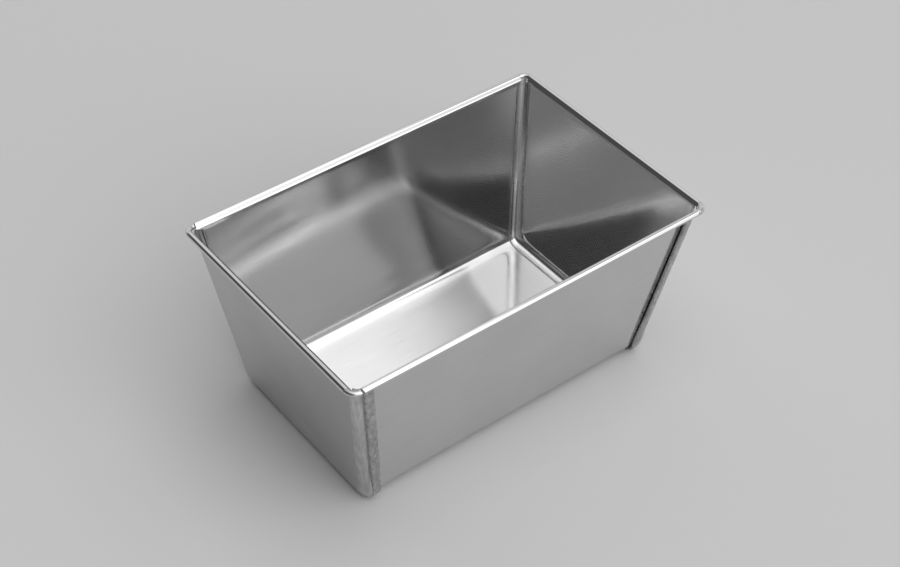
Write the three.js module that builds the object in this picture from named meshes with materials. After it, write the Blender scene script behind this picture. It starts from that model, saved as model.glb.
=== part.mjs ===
import * as THREE from "three";
import { mergeVertices } from "three/addons/utils/BufferGeometryUtils.js";

// Small loaf pan of folded tinplate in millimetres: X along the pan, Y across it, Z up from the table

// Overall sizes
const TOP_LENGTH = 160; // over the rolled rims of the two end walls
const TOP_WIDTH = 105.8; // over the rolled rims of the two long walls
const HEIGHT = 75; // from the table to the top of the rims
const BOTTOM_LENGTH = 133.5; // between the end walls' outer faces, at the underside of the bottom
const BOTTOM_WIDTH = 77.9; // between the long walls' outer faces, at the underside of the bottom
const SHEET = 0.4; // thickness of the tinplate

// Wired rim: the wall's top edge is rolled outwards round a steel wire
const WIRE_DIAMETER = 1.6;
const WIRE_CLEARANCE = 0.08; // between the wire and the sheet rolled round it
const WIRE_CORNER = 2; // radius of the wire's centre line at the four corners of the rim
const WIRE_JOINT = 0.3; // gap where the two ends of the wire meet, inside one long rim
const CURL_ANGLE = 280; // degrees that the sheet turns round the wire
const END_RIM_SETBACK = 0.1; // from the start of the wire's corner back to an end rim
const END_RIM_CUT = 2.6; // how far an end rim is cut back from its inner to its outer side
const LONG_RIM_SETBACK = 1.3; // the same two sizes on the long rims
const LONG_RIM_CUT = 1.6;

// Folded seam: the edge of the end cap hooks under the turned-out edge of the trough
const LAP_CLEARANCE = 0.1; // between neighbouring layers of the seam
const CAP_BEND = 3.1; // outer radius of the bend from an end panel to its flange
const PANEL_CORNER = 2.4; // radius of the flat panel's two lower corners
const FLANGE_FLAT = 0.2; // flat strip of the flange between its bend and the seam's crease
const CREASE_RADIUS = 0.2; // outer radius of the crease where the flange stands up
const SHOULDER_RADIUS = 0.7; // outer radius where it is laid over the trough's edge
const SEAM_WIDTH = 4.1; // from the riser of the seam to its folded edge
const EAR_HIGH = 1.6; // how far the ear at a rim corner stands above the seam, beside the end panel
const EAR_LOW = 0.5; // and beside the trough, whose edge leans over it

// Facets of the curved stretches
const CORNER_STEPS = 6;
const CURL_STEPS = 16;
const FOLD_STEPS = 8;
const CREASE_STEPS = 3;
const WIRE_SIDES = 12;

const CURL_BORE = WIRE_DIAMETER / 2 + WIRE_CLEARANCE;
const CURL_RADIUS = CURL_BORE + SHEET;
const SEAM_DEPTH = 3 * (SHEET + LAP_CLEARANCE);
const FLOOR = SEAM_DEPTH; // the pan stands on its seams, so the bottom's underside is above the table
const TROUGH_BEND = CAP_BEND + PANEL_CORNER;
const WIRE_HEIGHT = HEIGHT - CURL_RADIUS;
const SEAM_TOP = HEIGHT - 2 * CURL_RADIUS - LAP_CLEARANCE;

// Slant of a wall whose outer face rises from the bottom corner to touch the inside of the curl
function slant(bottom, top) {
  const out = (top - bottom) / 2 - CURL_RADIUS;
  const up = WIRE_HEIGHT - FLOOR;
  return Math.atan2(out, up) - Math.asin(CURL_BORE / Math.hypot(out, up));
}
const SIDE_SLANT = slant(BOTTOM_WIDTH, TOP_WIDTH);
const END_SLANT = slant(BOTTOM_LENGTH, TOP_LENGTH);

// Points of an arc, angles in degrees
function arc(x, y, radius, from, to, steps) {
  return Array.from({ length: steps + 1 }, (_, i) => {
    const angle = THREE.MathUtils.degToRad(from + ((to - from) * i) / steps);
    return [x + radius * Math.cos(angle), y + radius * Math.sin(angle)];
  });
}

// Stations of a rolled rim: a point of the wall's outer face, its outward normal and the share of the cut
function curlStations(half, wallSlant) {
  const start = 180 - THREE.MathUtils.radToDeg(wallSlant);
  const spokes = arc(0, 0, 1, start, start - CURL_ANGLE, CURL_STEPS);
  return spokes.map(([c, s], i) => ({
    at: [half - CURL_RADIUS + CURL_BORE * c, WIRE_HEIGHT + CURL_BORE * s],
    normal: [-c, -s],
    cut: i / CURL_STEPS,
  }));
}

// A station of a long wall at a height above the table
function wallStation(height) {
  return {
    at: [BOTTOM_WIDTH / 2 + (height - FLOOR) * Math.tan(SIDE_SLANT), height],
    normal: [Math.cos(SIDE_SLANT), -Math.sin(SIDE_SLANT)],
  };
}

// Stations of the trough's section, from the seam's top on one long wall, under the bottom, to the other
function seamStations() {
  const y = BOTTOM_WIDTH / 2 - (TROUGH_BEND * (1 - Math.sin(SIDE_SLANT))) / Math.cos(SIDE_SLANT);
  const last = -THREE.MathUtils.radToDeg(SIDE_SLANT);
  const half = arc(0, 0, 1, -90, last, CORNER_STEPS).map(([c, s]) => ({
    at: [y + TROUGH_BEND * c, FLOOR + TROUGH_BEND * (1 + s)],
    normal: [c, s],
  }));
  half.push(wallStation(SEAM_TOP));
  return [...half.map(mirrored).reverse(), ...half];
}

function mirrored(station) {
  const { at, normal } = station;
  return { ...station, at: [-at[0], at[1]], normal: [-normal[0], normal[1]] };
}

// A point at a height above a station's outer face
function lifted({ at, normal }, height) {
  return [at[0] + normal[0] * height, at[1] + normal[1] * height];
}

// A point of the seam: inset from the end panel's outer face, height above the trough's outer face
function seamPoint(station, end, inset, height) {
  const [y, z] = lifted(station, height);
  const face = BOTTOM_LENGTH / 2 + (z - FLOOR) * Math.tan(END_SLANT);
  return [end * (face - inset / Math.cos(END_SLANT)), y, z];
}

// A closed skin gathered from patches that share their border points
class Skin {
  positions = [];

  triangle(a, b, c, turned) {
    this.positions.push(...a, ...(turned ? [...c, ...b] : [...b, ...c]));
  }

  // Two triangles between each pair of neighbouring points on neighbouring rows
  grid(rows, turned) {
    for (let i = 1; i < rows.length; i++) {
      for (let j = 1; j < rows[i].length; j++) {
        this.triangle(rows[i - 1][j - 1], rows[i][j - 1], rows[i][j], turned);
        this.triangle(rows[i - 1][j - 1], rows[i][j], rows[i - 1][j], turned);
      }
    }
  }

  // A flat face given by a loop of points and the same loop in the plane
  face(points, flat, turned) {
    const loop = flat.map(([x, y]) => new THREE.Vector2(x, y));
    for (const [a, b, c] of THREE.ShapeUtils.triangulateShape(loop, [])) {
      const clockwise = THREE.ShapeUtils.area([loop[a], loop[b], loop[c]]) < 0;
      this.triangle(points[a], points[b], points[c], turned !== clockwise);
    }
  }

  mesh(name, colour, roughness) {
    const geometry = new THREE.BufferGeometry();
    geometry.setAttribute("position", new THREE.Float32BufferAttribute(this.positions, 3));
    const material = new THREE.MeshStandardMaterial({ color: colour, roughness, metalness: 0.9 });
    const mesh = new THREE.Mesh(mergeVertices(geometry, 1e-4), material);
    mesh.geometry.computeVertexNormals();
    mesh.name = name;
    return mesh;
  }
}

// Levels of the seam's layers above the trough's outer face: hook, hem and cover, from the wall outwards
const HOOK = LAP_CLEARANCE;
const HEM = HOOK + SHEET + LAP_CLEARANCE;
const RISER = CAP_BEND + FLANGE_FLAT + CREASE_RADIUS;
const FOLD_BORE = LAP_CLEARANCE + SHEET / 2;
const FOLD_RADIUS = FOLD_BORE + SHEET;
const HEM_FOLD = RISER + SHEET + LAP_CLEARANCE + FOLD_RADIUS;
const COVER_FOLD = RISER + SEAM_WIDTH - FOLD_RADIUS;

const SEAM = seamStations();
const SIDE_CURL = curlStations(TOP_WIDTH / 2, SIDE_SLANT);
const END_CURL = curlStations(TOP_LENGTH / 2, END_SLANT);

// Trough: the bottom and both long walls bent from one sheet, with a hem at each end and rolled rims
function trough() {
  const skin = new Skin();
  const rim = CURL_RADIUS + WIRE_CORNER + LONG_RIM_SETBACK;
  const all = [...SIDE_CURL.map(mirrored).reverse(), ...SEAM, ...SIDE_CURL];
  const across = (station, height) =>
    [-1, 1].map((end) =>
      station.cut === undefined
        ? seamPoint(station, end, HEM_FOLD, height)
        : [end * (TOP_LENGTH / 2 - rim - LONG_RIM_CUT * station.cut), ...lifted(station, height)],
    );
  const outer = all.map((station) => across(station, 0));
  const inner = all.map((station) => across(station, -SHEET));
  skin.grid(outer, false);
  skin.grid(inner, true);
  skin.grid([inner[0], outer[0]], false);
  skin.grid([inner.at(-1), outer.at(-1)], true);

  const hem = [
    ...arc(HEM_FOLD, HEM - FOLD_BORE, FOLD_BORE, 270, 90, FOLD_STEPS),
    [COVER_FOLD - LAP_CLEARANCE, HEM],
    [COVER_FOLD - LAP_CLEARANCE, HEM + SHEET],
    ...arc(HEM_FOLD, HEM - FOLD_BORE, FOLD_RADIUS, 90, 270, FOLD_STEPS),
  ];
  for (const [column, end] of [-1, 1].entries()) {
    const rows = SEAM.map((station) => hem.map(([s, n]) => seamPoint(station, end, s, n)));
    skin.grid(rows, end < 0);
    skin.face(rows[0], hem, end < 0);
    skin.face(rows.at(-1), hem, end > 0);
    const edge = all.map((_, i) => [inner[i][column], outer[i][column]]);
    skin.grid(edge.slice(0, CURL_STEPS + 2), end > 0);
    skin.grid(edge.slice(-CURL_STEPS - 2), end > 0);
  }
  return skin;
}

// End cap: a flat panel bent round three sides into the seam, with a rolled rim along its top edge
function endCap() {
  const skin = new Skin();
  const shoulder = [RISER + SHOULDER_RADIUS, SEAM_DEPTH - SHOULDER_RADIUS];
  const crease = [RISER - CREASE_RADIUS, CREASE_RADIUS];
  const fold = [COVER_FOLD, SEAM_DEPTH - FOLD_RADIUS];
  const profile = [
    ...arc(CAP_BEND, -CAP_BEND, CAP_BEND, 180, 90, CORNER_STEPS),
    ...arc(...crease, CREASE_RADIUS, -90, 0, CREASE_STEPS),
    ...arc(...shoulder, SHOULDER_RADIUS, 180, 90, CREASE_STEPS),
    ...arc(...fold, FOLD_RADIUS, 90, -90, FOLD_STEPS),
    [HEM_FOLD + LAP_CLEARANCE, HOOK],
    [HEM_FOLD + LAP_CLEARANCE, HOOK + SHEET],
    ...arc(...fold, FOLD_BORE, -90, 90, FOLD_STEPS),
    ...arc(...shoulder, SHOULDER_RADIUS - SHEET, 90, 180, CREASE_STEPS),
    ...arc(...crease, CREASE_RADIUS + SHEET, 0, -90, CREASE_STEPS),
    ...arc(CAP_BEND, -CAP_BEND, CAP_BEND - SHEET, 90, 180, CORNER_STEPS),
  ];
  const rows = SEAM.map((station) => profile.map(([s, n]) => seamPoint(station, 1, s, n)));
  skin.grid(rows, true);

  // Ear: half of the corner bend runs on above the seam, inside the corner of the wire
  const first = CORNER_STEPS / 2;
  const opposite = (i) => profile.length - 1 - i;
  const between = (from, to) => Array.from({ length: to - from + 1 }, (_, i) => from + i);
  const outside = between(first, CORNER_STEPS);
  for (const [top, turned] of [[rows[0], false], [rows.at(-1), true]]) {
    const bases = [
      [...between(0, first), ...between(opposite(first), opposite(0))],
      between(CORNER_STEPS, opposite(CORNER_STEPS)),
    ];
    for (const base of bases) {
      skin.face(base.map((i) => top[i]), base.map((i) => profile[i]), turned);
    }
    const tip = (i, column) => {
      const share = (column - first) / (CORNER_STEPS - first);
      const station = wallStation(SEAM_TOP + THREE.MathUtils.lerp(EAR_HIGH, EAR_LOW, share));
      return seamPoint(turned ? station : mirrored(station), 1, ...profile[i]);
    };
    const tips = outside.map((i) => [tip(i, i), tip(opposite(i), i)]);
    const feet = outside.map((i) => [top[i], top[opposite(i)]]);
    const ring = (pairs) => [
      ...pairs.map(([face]) => face),
      ...pairs.map(([, back]) => back).reverse(),
      pairs[0][0],
    ];
    skin.grid([ring(feet), ring(tips)], turned);
    skin.grid(tips, !turned);
  }

  const rim = CURL_RADIUS + WIRE_CORNER + END_RIM_SETBACK;
  const along = (station, height) => {
    const [x, z] = lifted(station, height);
    const half = TOP_WIDTH / 2 - rim - END_RIM_CUT * station.cut;
    return [[x, -half, z], [x, half, z]];
  };
  const outer = END_CURL.map((station) => along(station, 0));
  const inner = END_CURL.map((station) => along(station, -SHEET));
  skin.grid(outer, true);
  skin.grid(inner, false);
  skin.grid([inner.at(-1), outer.at(-1)], false);
  for (const side of [0, 1]) {
    const top = rows.at(-side);
    const edge = [[top[0], top.at(-1)], ...outer.map((row, i) => [row[side], inner[i][side]])];
    skin.grid(edge, side === 1);
  }
  for (const [column, top] of [[0, outer[0]], [profile.length - 1, inner[0]]]) {
    const loop = [...rows.map((row) => row[column]), top[1], top[0]];
    skin.face(loop, loop.map(([, y, z]) => [y, z]), column > 0);
  }
  return skin;
}

// Rim wire: one ring with rounded corners, its two ends meeting in the middle of a long side
function rimWire() {
  const skin = new Skin();
  const x = TOP_LENGTH / 2 - CURL_RADIUS - WIRE_CORNER;
  const y = TOP_WIDTH / 2 - CURL_RADIUS - WIRE_CORNER;
  const corner = (sx, sy, from) =>
    arc(0, 0, 1, from, from + 90, CORNER_STEPS).map(([c, s]) => ({
      centre: [sx * x + WIRE_CORNER * c, sy * y + WIRE_CORNER * s],
      out: [c, s],
    }));
  const end = (side) => ({ centre: [side * WIRE_JOINT / 2, y + WIRE_CORNER], out: [0, 1] });
  const path = [
    end(-1),
    ...corner(-1, 1, 90),
    ...corner(-1, -1, 180),
    ...corner(1, -1, 270),
    ...corner(1, 1, 0),
    end(1),
  ];
  const section = arc(0, 0, WIRE_DIAMETER / 2, 0, 360, WIRE_SIDES);
  const rows = path.map(({ centre, out }) =>
    section.map(([r, h]) => [centre[0] + out[0] * r, centre[1] + out[1] * r, h]),
  );
  skin.grid(rows, false);
  skin.face(rows[0].slice(1), section.slice(1), false);
  skin.face(rows.at(-1).slice(1), section.slice(1), true);
  return skin;
}

const TINPLATE = 0xb9bbbd;
const WIRE = 0xa9abad;

const leftCap = endCap().mesh("end_cap_left", TINPLATE, 0.3);
leftCap.rotation.z = Math.PI;
const wire = rimWire().mesh("rim_wire", WIRE, 0.35);
wire.position.z = WIRE_HEIGHT;

const pan = new THREE.Group();
pan.name = "small_loaf_pan";
pan.add(trough().mesh("trough", TINPLATE, 0.3));
pan.add(endCap().mesh("end_cap_right", TINPLATE, 0.3));
pan.add(leftCap);
pan.add(wire);

export default pan;
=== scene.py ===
import math

import bmesh
import bpy
import numpy as np
from mathutils import Matrix


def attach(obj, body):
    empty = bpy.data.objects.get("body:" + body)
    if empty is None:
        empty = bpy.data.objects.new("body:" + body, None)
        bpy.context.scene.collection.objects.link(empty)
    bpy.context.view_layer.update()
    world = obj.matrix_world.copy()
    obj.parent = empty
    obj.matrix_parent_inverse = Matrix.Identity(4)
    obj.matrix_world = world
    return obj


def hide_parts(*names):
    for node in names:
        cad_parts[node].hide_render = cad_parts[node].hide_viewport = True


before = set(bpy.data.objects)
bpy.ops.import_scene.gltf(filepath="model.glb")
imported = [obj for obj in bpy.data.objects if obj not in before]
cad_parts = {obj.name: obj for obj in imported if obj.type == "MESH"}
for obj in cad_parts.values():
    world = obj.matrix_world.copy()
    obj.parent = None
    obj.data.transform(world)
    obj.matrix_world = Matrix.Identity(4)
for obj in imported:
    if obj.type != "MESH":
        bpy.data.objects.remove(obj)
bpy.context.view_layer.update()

# Trough: the bottom and both long walls, bent from one sheet of bright tinplate.
# Its end edges are turned outwards into a hem that the end caps hook under, and its
# top edges are rolled outwards round the rim wire. The sizes of the pan are millimetres.
TOP_LENGTH, TOP_WIDTH, HEIGHT = 159.99, 105.79, 74.99
BOTTOM_LENGTH, BOTTOM_WIDTH = 133.5, 77.9
SHEET = 0.4
LAP_CLEARANCE = 0.1
CURL_BORE = 0.88
CURL_RADIUS = CURL_BORE + SHEET
CURL_ANGLE = 280.0
CURL_SQUARE = 0.035
FLARE, FLARE_ROUND, FLARE_TOP = 0.5, 0.45, 148.0
WIRE_CORNER = 2.0
WIRE_HEIGHT = HEIGHT - CURL_RADIUS
FLOOR = 3 * (SHEET + LAP_CLEARANCE)
SEAM_TOP = HEIGHT - 2 * CURL_RADIUS - LAP_CLEARANCE
CAP_BEND = 3.1
BEND_SOFTNESS, SEAM_SOFTNESS = 3.3, 2.7
BEND_REACH = 16.0
BEND_CHANGE = 0.80
SIDE_BOW = 0.9
BOW_FOOT, BOW_FULL = 3.0, 16.0
CREASE = 0.2
FLANGE_FLAT = 0.2
RISER = CAP_BEND + FLANGE_FLAT + CREASE
SEAM_WIDTH = 3.5
FOLD_SQUARE = 5
FOLD_BORE = LAP_CLEARANCE + SHEET / 2
FOLD_RADIUS = FOLD_BORE + SHEET
HEM = 2 * LAP_CLEARANCE + SHEET
HEM_FOLD = RISER + SHEET + LAP_CLEARANCE + FOLD_RADIUS
COVER_FOLD = RISER + SEAM_WIDTH - FOLD_RADIUS
LONG_RIM_SETBACK, LONG_RIM_CUT = 1.3, 1.6
LONG_RIM = CURL_RADIUS + WIRE_CORNER + LONG_RIM_SETBACK
LENGTH_STEPS, HEM_STEPS = 100, 16
MIRROR_X, MIRROR_Y = np.array([-1, 1, 1]), np.array([1, -1, 1])


def slant(bottom, top):
    """Slant of a wall from its bottom corner to where its top is bent out to the rolled rim."""
    out = (top - bottom) / 2 - CURL_RADIUS - FLARE
    up = WIRE_HEIGHT - FLOOR
    return math.atan2(out, up) - math.asin(CURL_BORE / math.hypot(out, up))


SIDE_SLANT = slant(BOTTOM_WIDTH, TOP_WIDTH)
END_SLANT = slant(BOTTOM_LENGTH, TOP_LENGTH)


def arc(centre, radius, start, stop, steps, square=2):
    """Points of a round bend about the centre, from one angle to the other in degrees. A power over 2 makes
    it squarer: on every bend the powers of a point's two distances from the centre add up to the same."""
    angle = np.radians(np.linspace(start, stop, steps + 1))
    spoke = np.stack([np.cos(angle), np.sin(angle)], 1)
    return centre + radius * spoke / (np.abs(spoke) ** square).sum(1, keepdims=True) ** (1 / square)


def smooth_step(value, low, high):
    """Rises from 0 at the low value to 1 at the high one as three times the square less twice the cube."""
    share = np.clip((value - low) / (high - low), 0, 1)
    return share * share * (3 - 2 * share)


def curl(half, wall_slant, steps=36, flare_steps=12):
    """Rolled rim: the wall's top is bent out in a flare, straight to the wire, and goes on over it and
    round. The press leaves the roll a little square: its radius is the bore's, less a share that is
    greatest half way between top and sides. The flare's foot is a parabola about the corner where the
    wall's line meets the flare's. Gives the points of the sheet's outer face, and its normals towards
    the wire."""
    wire = np.array([half - CURL_RADIUS, WIRE_HEIGHT])
    angle = np.linspace(math.radians(FLARE_TOP), math.pi - wall_slant - math.radians(CURL_ANGLE), steps + 1)
    radius = CURL_BORE * (1 - CURL_SQUARE * (1 - np.cos(4 * angle)))
    roll = radius[:, None] * np.stack([np.cos(angle), np.sin(angle)], 1)
    up = np.array([math.sin(wall_slant), math.cos(wall_slant)])
    foot = np.array([-FLARE - CURL_BORE / math.cos(wall_slant), 0])
    out = (roll[1] - roll[0]) / np.linalg.norm(roll[1] - roll[0])
    reach = np.linalg.solve(np.stack([up, -out], 1), roll[0] - foot)[0]
    corner = foot + reach * up
    share = np.linspace(0, 1, flare_steps + 1)[:, None]
    flare = corner + FLARE_ROUND * (share ** 2 * out - (1 - share) ** 2 * up)
    line = np.concatenate([flare, roll])
    along = np.gradient(line, axis=0)
    along[0] = up
    normal = np.stack([along[:, 1], -along[:, 0]], 1) / np.linalg.norm(along, axis=1, keepdims=True)
    return wire + line, normal


def wall_line(height):
    """Half width of the trough over its long walls' outer faces, at a height above the table."""
    return BOTTOM_WIDTH / 2 + (height - FLOOR) * math.tan(SIDE_SLANT)


def trough_path(softness, wall_steps=60, bend_steps=64, bottom_steps=24):
    """Outer face of the trough's section, from the seam's top on one wall, under the bottom and up again.
    Through a bend the sheet's tilt rises from level to the wall's slope as the hyperbolic tangent of the
    distance along it, and the points are the running sum of the tilted steps. Walls and bottom are straight.
    The softness is the distance over which most of the bend is made."""
    along = np.linspace(-BEND_REACH, BEND_REACH, bend_steps + 1)
    tilt = (math.pi / 2 - SIDE_SLANT) * (1 + np.tanh(along / softness)) / 2
    middle = (tilt[1:] + tilt[:-1]) / 2
    steps = np.diff(along)[:, None] * np.stack([np.cos(middle), np.sin(middle)], 1)
    bend = np.concatenate([[[0, 0]], np.cumsum(steps, 0)]) + (0, FLOOR)
    bend[:, 0] += wall_line(bend[-1, 1]) - bend[-1, 0]
    height = np.linspace(bend[-1, 1], SEAM_TOP, wall_steps + 1)[1:]
    half = np.concatenate([bend, np.stack([wall_line(height), height], 1)])
    tilt = np.concatenate([tilt, np.full(wall_steps, math.pi / 2 - SIDE_SLANT)])
    normals = np.stack([np.sin(tilt), -np.cos(tilt)], 1)
    level = np.linspace(-bend[0, 0], bend[0, 0], bottom_steps + 1)[1:-1]
    bottom = np.stack([level, np.full_like(level, FLOOR)], 1)
    down = np.tile([0.0, -1.0], (len(level), 1))
    flip = np.array([-1, 1])
    points = np.concatenate([half[::-1] * flip, bottom, half])
    return points, np.concatenate([normals[::-1] * flip, down, normals])


def seam_points(path, normals, profile):
    """Carries a profile along the trough's path. A profile point is an inset from the end panel's face
    and a height above the trough's outer face; the end panel's slant shifts each point along X."""
    across = path + normals * profile[..., 1:]
    face = BOTTOM_LENGTH / 2 + (across[..., 1:] - FLOOR) * math.tan(END_SLANT)
    return np.concatenate([face - profile[..., :1] / math.cos(END_SLANT), across], -1)


def edge_band(first, second):
    """The narrow edge of the sheet: a grid of two columns between matching points of its two faces."""
    return np.stack([first, second], 1)


MILLIMETRE = 0.001
MERGE_DISTANCE = 2e-7
SHARP_ANGLE = math.radians(40)


def sheet_piece(name, groups):
    """Joins grids of points that share their borders into one closed body, smooth along its bends.
    Each group is a finish with the grids that have it."""
    vertices, quads, slots, first = [], [], [], 0
    for slot, patch in [(slot, patch) for slot, (_, patches) in enumerate(groups) for patch in patches]:
        rows, columns = patch.shape[:2]
        number = first + np.arange(rows * columns).reshape(rows, columns)
        corners = [number[:-1, :-1], number[1:, :-1], number[1:, 1:], number[:-1, 1:]]
        quads.append(np.stack(corners, -1).reshape(-1, 4))
        slots.append(np.full(len(quads[-1]), slot))
        vertices.append(patch.reshape(-1, 3))
        first += rows * columns
    mesh = bpy.data.meshes.new(name)
    mesh.from_pydata((np.concatenate(vertices) * MILLIMETRE).tolist(), [], np.concatenate(quads).tolist())
    for finish, _ in groups:
        mesh.materials.append(finish)
    mesh.polygons.foreach_set("material_index", np.concatenate(slots))
    skin = bmesh.new()
    skin.from_mesh(mesh)
    bmesh.ops.remove_doubles(skin, verts=skin.verts, dist=MERGE_DISTANCE)
    bmesh.ops.recalc_face_normals(skin, faces=skin.faces)
    skin.to_mesh(mesh)
    skin.free()
    mesh.polygons.foreach_set("use_smooth", np.ones(len(mesh.polygons), bool))
    mesh.set_sharp_from_angle(angle=SHARP_ANGLE)
    piece = bpy.data.objects.new(name, mesh)
    bpy.context.scene.collection.objects.link(piece)
    return piece


NOISE_LOW, NOISE_HIGH = 0.7, 1.3
GRAIN_DETAIL, SMUDGE_DETAIL = 3.0, 4.0


def metal_finish(name, greys, roughness, grain, grain_depth, smudges=40.0):
    """Metal with drawn-out grain lines and soft handling smudges; tone and roughness follow both.
    The grain vector gives lines per metre along each axis, and the smudges are a number per metre too.
    The greys are the darkest and lightest tone, and the darkest is the roughest."""
    finish = bpy.data.materials.new(name)
    finish.use_nodes = True
    nodes, links = finish.node_tree.nodes, finish.node_tree.links
    shader = nodes["Principled BSDF"]
    shader.inputs["Metallic"].default_value = 1.0
    place = nodes.new("ShaderNodeTexCoord").outputs["Object"]
    stretch = nodes.new("ShaderNodeMapping")
    stretch.inputs["Scale"].default_value = grain
    links.new(place, stretch.inputs["Vector"])
    lines = nodes.new("ShaderNodeTexNoise")
    lines.inputs["Scale"].default_value = 1.0
    lines.inputs["Detail"].default_value = GRAIN_DETAIL
    links.new(stretch.outputs["Vector"], lines.inputs["Vector"])
    smudge = nodes.new("ShaderNodeTexNoise")
    smudge.inputs["Scale"].default_value = smudges
    smudge.inputs["Detail"].default_value = SMUDGE_DETAIL
    links.new(place, smudge.inputs["Vector"])
    both = nodes.new("ShaderNodeMath")
    links.new(lines.outputs["Fac"], both.inputs[0])
    links.new(smudge.outputs["Fac"], both.inputs[1])
    for socket, values in (("Roughness", roughness[::-1]), ("Base Color", greys)):
        spread = nodes.new("ShaderNodeMapRange")
        links.new(both.outputs[0], spread.inputs["Value"])
        limits = (NOISE_LOW, NOISE_HIGH, *values)
        for limit, value in zip(("From Min", "From Max", "To Min", "To Max"), limits):
            spread.inputs[limit].default_value = value
        links.new(spread.outputs["Result"], shader.inputs[socket])
    relief = nodes.new("ShaderNodeBump")
    relief.inputs["Distance"].default_value = grain_depth
    links.new(lines.outputs["Fac"], relief.inputs["Height"])
    links.new(relief.outputs["Normal"], shader.inputs["Normal"])
    return finish


LENGTHWISE = (60, 1600, 1600)
ROLLING_DEPTH = 3e-7
trough_tin = metal_finish(
    "tinplate_rolled_lengthwise", greys=(0.685, 0.715), roughness=(0.09, 0.13),
    grain=LENGTHWISE, grain_depth=ROLLING_DEPTH)
# Painted shade: the outer faces of the walls and bottom get a darker copy of the same tinplate, standing in
# for the dim table near the pan that they mirror.
trough_outside_painted_shade = metal_finish(
    "tinplate_outside_lengthwise_painted_shade", greys=(0.59, 0.63), roughness=(0.10, 0.15),
    grain=LENGTHWISE, grain_depth=ROLLING_DEPTH)
cut_edge = metal_finish(
    "cut_tinplate_edge", greys=(0.36, 0.50), roughness=(0.30, 0.50), grain=(900, 900, 900), grain_depth=2e-5)
middle_path, middle_normals = trough_path(BEND_SOFTNESS)
path, path_normals = trough_path(SEAM_SOFTNESS)
path, path_normals = path[:, None, :], path_normals[:, None, :]
rim_path, rim_normals = curl(TOP_WIDTH / 2, SIDE_SLANT)
hem_tip = COVER_FOLD - LAP_CLEARANCE
hem_out = np.concatenate([[[hem_tip, HEM]], arc((HEM_FOLD, FOLD_BORE), FOLD_BORE, 90, 270, HEM_STEPS)])
fold = arc((HEM_FOLD, FOLD_BORE), FOLD_RADIUS, 90, 270, HEM_STEPS, FOLD_SQUARE)
hem_in = np.concatenate([[[hem_tip, HEM + SHEET]], fold])
SEAM_PROUD, SEAM_LIFT, SEAM_NARROWING = 0.2, 0.3, 0.9
GROWTH_HEIGHT = (8, 26)
TURN_HEIGHT, TURN_SIDE = (2, 8), (28, 36)


def seam_shape(profile):
    """The seam as the press leaves it at each station of the path: up the walls it is thicker towards its
    folded edge and stands off a little there, so heights over the trough grow with the inset from the riser.
    Round the lower corners it is narrower, most of all at the turn."""
    inset, height = profile[:, 0], profile[:, 1]
    growth = smooth_step(path[..., 1], *GROWTH_HEIGHT) * np.clip((inset - RISER) / SEAM_WIDTH, 0, 1)
    proud = growth * (SEAM_LIFT + SEAM_PROUD * np.clip(height, 0, None))
    turn = (1 - smooth_step(path[..., 1], *TURN_HEIGHT)) * smooth_step(np.abs(path[..., 0]), *TURN_SIDE)
    narrow = turn * np.clip((inset - HEM_FOLD) / (COVER_FOLD - HEM_FOLD), 0, 1) * SEAM_NARROWING
    return np.stack([inset - narrow, height + proud], -1)


def wall_bow(height, share):
    """How far a wall bows out: a parabola along the wall times a parabola up it, eased in above the bend.
    The share runs from -1 to 1 along the wall."""
    rise = np.clip((height - BOW_FOOT) / (SEAM_TOP - BOW_FOOT), 0, 1)
    return 4 * rise * (1 - rise) * smooth_step(height, BOW_FOOT, BOW_FULL) * (1 - share ** 2)


def trough_face(height, hem):
    """One face of the trough: its two hems, and the sheet between them drawn as lines along X. The lines are
    straight but for the bends, which are tight at the seams and go over to the softer bends of the middle,
    and the walls, which bow out. Above the seam the lines end at the cut ends of the rolled rims."""
    right_hem = seam_points(path, path_normals, seam_shape(hem))
    side = rim_path + rim_normals * height
    cut = TOP_LENGTH / 2 - LONG_RIM - LONG_RIM_CUT * np.linspace(0, 1, len(side))
    rim = np.concatenate([cut[:, None], side], 1)
    right = np.concatenate([rim[::-1] * MIRROR_Y, right_hem[:, -1], rim])
    share = np.linspace(-1, 1, LENGTH_STEPS + 1)[:, None]
    sheet = right[:, None] * np.concatenate([share, np.ones_like(share), np.ones_like(share)], 1)
    soften = middle_path + middle_normals * height - right_hem[:, -1, 1:]
    wall = slice(len(rim), -len(rim))
    sheet[wall, :, 1:] += soften[:, None] * (1 - smooth_step(np.abs(share), BEND_CHANGE, 1))
    bow = SIDE_BOW * wall_bow(sheet[wall, :, 2], share[:, 0])
    sheet[wall, :, 1] += np.sign(sheet[wall, :, 1]) * bow
    return right_hem, sheet


hem_outer, trough_outer = trough_face(0, hem_out)
hem_inner, trough_inner = trough_face(-SHEET, hem_in)
above = len(rim_path) + 1
faces = [trough_outer[:above], trough_outer[-above:], trough_inner]
walls_outside = [trough_outer[above - 1:1 - above]]
edges = [edge_band(trough_outer[end], trough_inner[end]) for end in (0, -1)]
for column, mirror in ((-1, 1), (0, MIRROR_X)):
    faces += [hem_outer * mirror, hem_inner * mirror]
    edges += [edge_band(hem_outer[:, 0], hem_inner[:, 0]) * mirror]
    edges += [edge_band(hem_outer[end], hem_inner[end]) * mirror for end in (0, -1)]
    band = edge_band(trough_outer[:, column], trough_inner[:, column])
    edges += [band[:above], band[-above:]]
groups = [(trough_tin, faces), (trough_outside_painted_shade, walls_outside), (cut_edge, edges)]
trough = sheet_piece("trough_sheet", groups)
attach(trough, "root")
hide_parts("trough")

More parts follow.
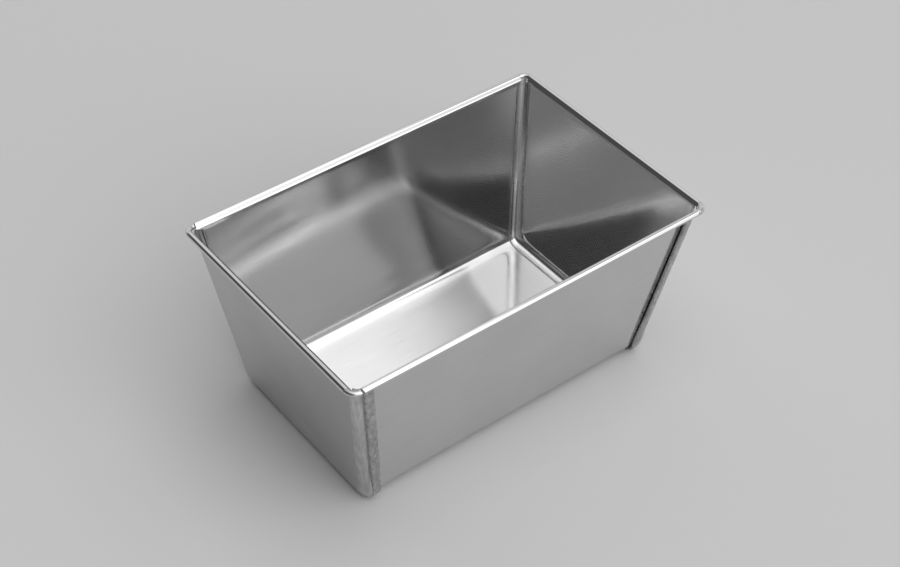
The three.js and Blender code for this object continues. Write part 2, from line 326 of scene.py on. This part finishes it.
# End caps: two end panels of the same tinplate, bent round three sides into a flange that is laid over
# the trough's hem, hooked under it and pressed flat: a lock seam. The top edge is rolled outwards round
# the rim wire, and half of each corner bend stands up as a small ear inside the wire's corner.
END_RIM_SETBACK, END_RIM_CUT = 0.1, 2.6
END_RIM = CURL_RADIUS + WIRE_CORNER + END_RIM_SETBACK
CAP_STEPS, CREASE_STEPS, FOLD_STEPS, EAR_STEPS = 16, 8, 14, 6
SHOULDER = 0.7
END_BOW = 0.85
EAR_HIGH, EAR_LOW = 1.6, 0.5
EAR_FIRST = 6
FILL_HEIGHT, FILL_SIDE, FILL = (5, 18), (28, 37), 0.9
LEVEL_WITHIN = 1e-4
CROSSWISE = (1600, 60, 1600)
cap_tin = metal_finish(
    "tinplate_rolled_crosswise", greys=(0.685, 0.715), roughness=(0.09, 0.13),
    grain=CROSSWISE, grain_depth=ROLLING_DEPTH)
# Painted shade: the end panels' outer faces get a still darker copy of the same tinplate, standing in for
# the darker table on the left that they mirror.
cap_outside_painted_shade = metal_finish(
    "tinplate_outside_crosswise_painted_shade", greys=(0.46, 0.52), roughness=(0.12, 0.18),
    grain=CROSSWISE, grain_depth=ROLLING_DEPTH)
bend_tin = metal_finish(
    "tinplate_dulled_in_the_bend", greys=(0.44, 0.70), roughness=(0.22, 0.36),
    grain=(800, 800, 30), grain_depth=3e-6)
bend_inside = metal_finish(
    "tinplate_inside_the_bend", greys=(0.58, 0.70), roughness=(0.15, 0.21),
    grain=(900, 900, 30), grain_depth=4e-7)
# The seam's tone is partly real scuffing and press marks from the seaming tool, and partly painted shade:
# its darkest greys stand in for the dark that the seam's tilted face mirrors.
seam_tin_scuffed_and_shaded = metal_finish(
    "tinplate_scuffed_and_painted_shade_in_the_seam", greys=(0.30, 0.56), roughness=(0.18, 0.40),
    grain=(1800, 900, 160), grain_depth=8e-6, smudges=420.0)


def seam_profile(thickness):
    """The cap's flange as a path of inset and height: bend, crease, shoulder, fold and hook.
    The thickness moves every point to the sheet's other face."""
    return np.concatenate([
        arc((CAP_BEND, -CAP_BEND), CAP_BEND - thickness, 180, 90, CAP_STEPS),
        arc((RISER - CREASE, CREASE), CREASE + thickness, -90, 0, CREASE_STEPS, FOLD_SQUARE),
        arc((RISER + SHOULDER, FLOOR - SHOULDER), SHOULDER - thickness, 180, 90, CREASE_STEPS),
        arc((COVER_FOLD, FLOOR - FOLD_RADIUS), FOLD_RADIUS - thickness, 90, -90, FOLD_STEPS),
        [[HEM_FOLD + LAP_CLEARANCE, LAP_CLEARANCE + thickness]],
    ])


def corner_lift():
    """Round the lower corners the crease is filled out on the outside: up to the shoulder the outer face is
    lifted towards the seam's level, most where the path turns and less towards the panel."""
    inset, height = seam_profile(0).T
    turn = (1 - smooth_step(path[..., 1], *FILL_HEIGHT)) * smooth_step(np.abs(path[..., 0]), *FILL_SIDE)
    before_fold = np.arange(len(inset)) < len(inset) - FOLD_STEPS - 1
    return turn * smooth_step(inset, 0, CAP_BEND) * np.clip(FLOOR - height, 0, None) * before_fold * FILL


def cap_face(thickness):
    """One face of an end cap: its flange carried along the seam, the panel with its rolled rim, and an ear.
    A panel row is a level line between matching points of the flange's first column."""
    profile = seam_profile(thickness)
    shape = seam_shape(profile)
    if thickness == 0:
        shape[..., 1] += corner_lift()
    flange = seam_points(path, path_normals, shape)
    border = flange[:, 0]
    bottom = np.flatnonzero(np.abs(border[:, 2] - border[:, 2].min()) < LEVEL_WITHIN)
    share = (border[bottom, 1] / border[bottom[-1], 1] + 1) / 2
    side = border[bottom[-1]:]
    upper, upper_normals = curl(TOP_LENGTH / 2, END_SLANT)
    upper = upper - upper_normals * thickness
    cut = TOP_WIDTH / 2 - END_RIM - END_RIM_CUT * np.linspace(0, 1, len(upper))
    side = np.concatenate([side, np.stack([upper[:, 0], cut, upper[:, 1]], 1)])
    panel = side[:, None, :] * np.stack([np.ones_like(share), 2 * share - 1, np.ones_like(share)], 1)[None]
    panel[..., 0] += END_BOW * wall_bow(panel[..., 2], 2 * share - 1)
    across = np.linspace(0, math.pi / 2, CAP_STEPS - EAR_FIRST + 1)
    rise = np.linspace(0, 1, EAR_STEPS + 1)[:, None] * (EAR_LOW + (EAR_HIGH - EAR_LOW) * np.cos(across))
    line = np.stack([wall_line(SEAM_TOP + rise), SEAM_TOP + rise], -1)
    ear = seam_points(line, path_normals[-1], profile[EAR_FIRST:CAP_STEPS + 1])
    return flange, panel, ear


flange_outer, panel_outer, ear_outer = cap_face(0)
flange_inner, panel_inner, ear_inner = cap_face(SHEET)
rolled = len(panel_outer) - above
panels = [panel_outer[rolled:], panel_inner]
bends, inner_bends = [flange_outer[:, :CAP_STEPS + 2]], [flange_inner[:, :CAP_STEPS + 2]]
seams = [flange_outer[:, CAP_STEPS + 1:], flange_inner[:, CAP_STEPS + 1:]]
edges = [edge_band(flange_outer[:, -1], flange_inner[:, -1]), edge_band(panel_outer[-1], panel_inner[-1])]
edges += [edge_band(panel_outer[-above:, side], panel_inner[-above:, side]) for side in (0, -1)]
for end, mirror in ((-1, 1), (0, MIRROR_Y)):
    bends += [ear_outer * mirror]
    inner_bends += [ear_inner * mirror]
    top = edge_band(flange_outer[end], flange_inner[end])
    edges += [top[:EAR_FIRST + 1], top[CAP_STEPS:], edge_band(ear_outer[-1], ear_inner[-1]) * mirror]
    edges += [edge_band(ear_outer[:, side], ear_inner[:, side]) * mirror for side in (0, -1)]
for name, mirror in (("right", 1), ("left", MIRROR_X)):
    groups = [(cap_tin, panels), (cap_outside_painted_shade, [panel_outer[:rolled + 1]]), (bend_tin, bends)]
    groups += [(bend_inside, inner_bends), (seam_tin_scuffed_and_shaded, seams), (cut_edge, edges)]
    groups = [(finish, [patch * mirror for patch in patches]) for finish, patches in groups]
    cap = sheet_piece("end_cap_sheet_" + name, groups)
    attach(cap, "root")
    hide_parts("end_cap_" + name)

# Rim wire: one length of plain drawn steel wire, bent to a rectangle and rolled into the four rims.
# It shows bare at the four corners; its ends meet inside the back rim.
WIRE_RADIUS, BARE_RADIUS = 0.8, 1.1
BARE_CORNER, BARE_CORNER_OUT = 3.5, 0.14
BARE_LEAD, BARE_STEP = 0.1, 0.5
WIRE_JOINT = 0.3
drawn_steel = metal_finish(
    "drawn_steel_wire", greys=(0.52, 0.64), roughness=(0.20, 0.32), grain=(700, 700, 1500), grain_depth=6e-6)


def wire_ring(sides=24, corner_steps=12):
    """A round section carried along a rounded rectangle, from one end of the wire to the other.
    At the bare corners the wire is thicker and runs a little further out, nearly flush with the rims."""
    half = np.array([TOP_LENGTH, TOP_WIDTH]) / 2 - CURL_RADIUS
    middle = half + BARE_CORNER_OUT - BARE_CORNER
    spoke = arc((0, 0), 1, 0, 90, corner_steps)
    lead = np.array([[BARE_LEAD + BARE_STEP], [BARE_LEAD]])
    before = middle + (half - middle) * (1, 0) - lead * (0, 1)
    after = middle + (half - middle) * (0, 1) - lead[::-1] * (1, 0)
    corner = np.concatenate([before, middle + BARE_CORNER * spoke, after])
    corner_out = np.concatenate([spoke[[0, 0]], spoke, spoke[[-1, -1]]])
    corner_radius = np.full(len(corner), BARE_RADIUS)
    corner_radius[[0, -1]] = WIRE_RADIUS
    end, end_out = np.array([[WIRE_JOINT / 2, half[1]]]), np.array([[0, 1]])
    quarters = [((-1, 1), -1), ((-1, -1), 1), ((1, -1), -1), ((1, 1), 1)]
    line = np.concatenate([end * (-1, 1), *[(corner * sign)[::step] for sign, step in quarters], end])
    out = np.concatenate([end_out, *[(corner_out * sign)[::step] for sign, step in quarters], end_out])
    radius = np.concatenate([[WIRE_RADIUS], *[corner_radius] * 4, [WIRE_RADIUS]])[:, None]
    section = arc((0, 0), 1, 0, 360, sides)
    plan = line[:, None, :] + out[:, None, :] * (radius * section[:, 0])[..., None]
    rise = WIRE_HEIGHT + radius * section[:, 1]
    ring = np.concatenate([plan, rise[..., None]], 2)
    middle = np.concatenate([line, np.full((len(line), 1), WIRE_HEIGHT)], 1)
    return ring, [np.stack([ring[end], np.broadcast_to(middle[end], ring[end].shape)]) for end in (0, -1)]


ring, ring_ends = wire_ring()
wire = sheet_piece("rim_wire_ring", [(drawn_steel, [ring]), (cut_edge, ring_ends)])
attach(wire, "root")
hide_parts("rim_wire")

# Stage: a pale grey matt table in a soft white studio, with one wide light panel overhead. The room is
# dark on the left, has softer dark and bright places on the right, and is brighter low at the front.
# The sizes and places of the stage are metres.
TABLE_HALF = 4
PAPER_GREY, PAPER_ROUGHNESS = 0.58, 0.9
corners = [(-TABLE_HALF, -TABLE_HALF, 0), (TABLE_HALF, -TABLE_HALF, 0)]
corners += [(TABLE_HALF, TABLE_HALF, 0), (-TABLE_HALF, TABLE_HALF, 0)]
floor_mesh = bpy.data.meshes.new("table")
floor_mesh.from_pydata(corners, [], [(0, 1, 2, 3)])
table = bpy.data.objects.new("table", floor_mesh)
bpy.context.scene.collection.objects.link(table)
paper = bpy.data.materials.new("pale_grey_paper")
paper.use_nodes = True
paper_shader = paper.node_tree.nodes["Principled BSDF"]
paper_shader.inputs["Base Color"].default_value = (PAPER_GREY, PAPER_GREY, PAPER_GREY, 1)
paper_shader.inputs["Roughness"].default_value = PAPER_ROUGHNESS
paper_shader.inputs["Specular IOR Level"].default_value = 0.0
floor_mesh.materials.append(paper)

world = bpy.data.worlds.new("studio")
bpy.context.scene.world = world
world.use_nodes = True
sky_nodes, sky_links = world.node_tree.nodes, world.node_tree.links
ROOM_LIGHT = 0.87
# Azimuth and elevation of a patch's middle, its outer and inner angle, and the change in light.
ROOM_PATCHES = {
    "dark left side": (175, 18, 68, 39, -0.79),
    "darker high on the right": (345, 43, 26, 14, -0.5),
    "bright low at the front right": (290, 3, 24, 10, 1.2),
    "brighter in front": (272, 22, 35, 22, 0.45),
    "bright patch at the right": (317, 41, 13, 5, 1.4),
    "darker low at the back right": (54, 20, 26, 8, -0.22),
}


def sky_patch(light, azimuth, elevation, outer, inner, change):
    """Adds a soft round patch to the room's light: the change is full within the inner angle from its
    middle and falls smoothly to nothing at the outer one. All angles are degrees."""
    turn, rise = math.radians(azimuth), math.radians(elevation)
    nearness = sky_nodes.new("ShaderNodeVectorMath")
    nearness.operation = "DOT_PRODUCT"
    nearness.inputs[1].default_value = (
        math.cos(rise) * math.cos(turn), math.cos(rise) * math.sin(turn), math.sin(rise))
    sky_links.new(sky_nodes.new("ShaderNodeTexCoord").outputs["Generated"], nearness.inputs[0])
    patch = sky_nodes.new("ShaderNodeMapRange")
    patch.interpolation_type = "SMOOTHSTEP"
    limits = (math.cos(math.radians(outer)), math.cos(math.radians(inner)), 0.0, change)
    for socket, value in zip(("From Min", "From Max", "To Min", "To Max"), limits):
        patch.inputs[socket].default_value = value
    sky_links.new(nearness.outputs["Value"], patch.inputs["Value"])
    total = sky_nodes.new("ShaderNodeMath")
    total.inputs[0].default_value = ROOM_LIGHT
    if light is not None:
        sky_links.new(light, total.inputs[0])
    sky_links.new(patch.outputs["Result"], total.inputs[1])
    return total.outputs[0]


sky = None
for patch in ROOM_PATCHES.values():
    sky = sky_patch(sky, *patch)
sky_nodes["Background"].inputs["Color"].default_value = (1, 1, 1, 1)
sky_links.new(sky, sky_nodes["Background"].inputs["Strength"])

PANEL_SIZE, PANEL_MIDDLE = (2.55, 5.4), (0.025, -2.25, 2.5)
PANEL_LIGHT, WATTS_PER_LIGHT = 0.8, 4
panel_data = bpy.data.lights.new("ceiling_panel", "AREA")
panel_data.shape = "RECTANGLE"
panel_data.size, panel_data.size_y = PANEL_SIZE
panel_data.energy = WATTS_PER_LIGHT * PANEL_LIGHT * PANEL_SIZE[0] * PANEL_SIZE[1]
panel = bpy.data.objects.new("ceiling_panel", panel_data)
panel.location = PANEL_MIDDLE
bpy.context.scene.collection.objects.link(panel)

# Camera: as the photograph was taken, from the front left and above. Its place is in metres, and the
# width of its sensor in millimetres, as Blender counts it.
AZIMUTH, ELEVATION, ROLL = math.radians(38.187), math.radians(42.704), math.radians(0.882)
CAMERA_PLACE = (-0.305702, -0.390700, 0.500050)
SENSOR_WIDTH, PICTURE_WIDTH, FOCAL_PIXELS = 36, 900, 1809.351
camera_data = bpy.data.cameras.new("camera")
camera_data.sensor_fit = "HORIZONTAL"
camera_data.sensor_width = SENSOR_WIDTH
camera_data.lens = FOCAL_PIXELS * SENSOR_WIDTH / PICTURE_WIDTH
camera = bpy.data.objects.new("camera", camera_data)
bpy.context.scene.collection.objects.link(camera)
level = math.cos(ELEVATION)
forward = np.array([math.sin(AZIMUTH) * level, math.cos(AZIMUTH) * level, -math.sin(ELEVATION)])
right = np.cross(forward, (0, 0, 1))
right /= np.linalg.norm(right)
up = np.cross(right, forward)
right, up = math.cos(ROLL) * right + math.sin(ROLL) * up, math.cos(ROLL) * up - math.sin(ROLL) * right
turn = Matrix(np.stack([right, up, -forward], 1).tolist()).to_4x4()
camera.matrix_world = Matrix.Translation(CAMERA_PLACE) @ turn
bpy.context.scene.camera = camera
bpy.context.scene.view_settings.view_transform = "Standard"
MIRROR_BOUNCES = 12
bpy.context.scene.cycles.glossy_bounces = MIRROR_BOUNCES
